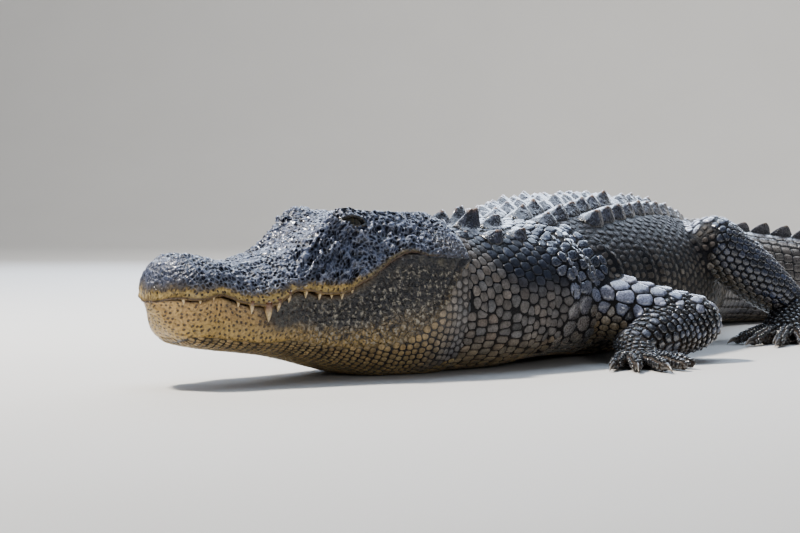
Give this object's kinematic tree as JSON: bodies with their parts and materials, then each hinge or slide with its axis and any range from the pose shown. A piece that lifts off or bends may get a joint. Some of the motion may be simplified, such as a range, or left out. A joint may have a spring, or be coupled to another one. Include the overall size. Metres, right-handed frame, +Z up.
{
  "type": "american alligator",
  "caption": "Life-size alligator model resting on its belly, head turned to one side, keeled plates along its back and a crested tail that bends to the other side.",
  "frame": {"origin": "on the floor under the middle of the trunk", "axes": "+X along the straight trunk to the head end, +Y to the animal's left, +Z up"},
  "size_m": [2.5613, 0.806, 0.2178],
  "materials": {
    "head_skin": "dark grey pitted skin with a low blue sheen, paler along the lips",
    "jaw_skin": "cream skin with rows of dark dots, greyer toward the cheek",
    "neck_skin": "pale grey scales with dark gaps",
    "body_skin": "near-black skin under grey keeled plates and small pale scales",
    "leg_skin": "near-black skin under glossy grey scales",
    "eye": "glossy dark olive",
    "claw": "dark horn with paler tips"
  },
  "bodies": {
    "root": {"head": "head_skin", "lower_jaw": "jaw_skin", "eye_left": "eye", "eye_right": "eye", "neck": "neck_skin", "torso": "body_skin", "tail_1": "body_skin", "tail_2": "body_skin", "tail_3": "body_skin", "upper_arm_left": "leg_skin", "forearm_left": "leg_skin", "hand_left": "leg_skin", "finger_claw_left_1": "claw", "finger_claw_left_2": "claw", "finger_claw_left_3": "claw", "thigh_left": "leg_skin", "shank_left": "leg_skin", "foot_left": "leg_skin", "toe_claw_left_1": "claw", "toe_claw_left_2": "claw", "toe_claw_left_3": "claw", "upper_arm_right": "leg_skin", "forearm_right": "leg_skin", "hand_right": "leg_skin", "finger_claw_right_1": "claw", "finger_claw_right_2": "claw", "finger_claw_right_3": "claw", "thigh_right": "leg_skin", "shank_right": "leg_skin", "foot_right": "leg_skin", "toe_claw_right_1": "claw", "toe_claw_right_2": "claw", "toe_claw_right_3": "claw"}
  },
  "joints": []
}
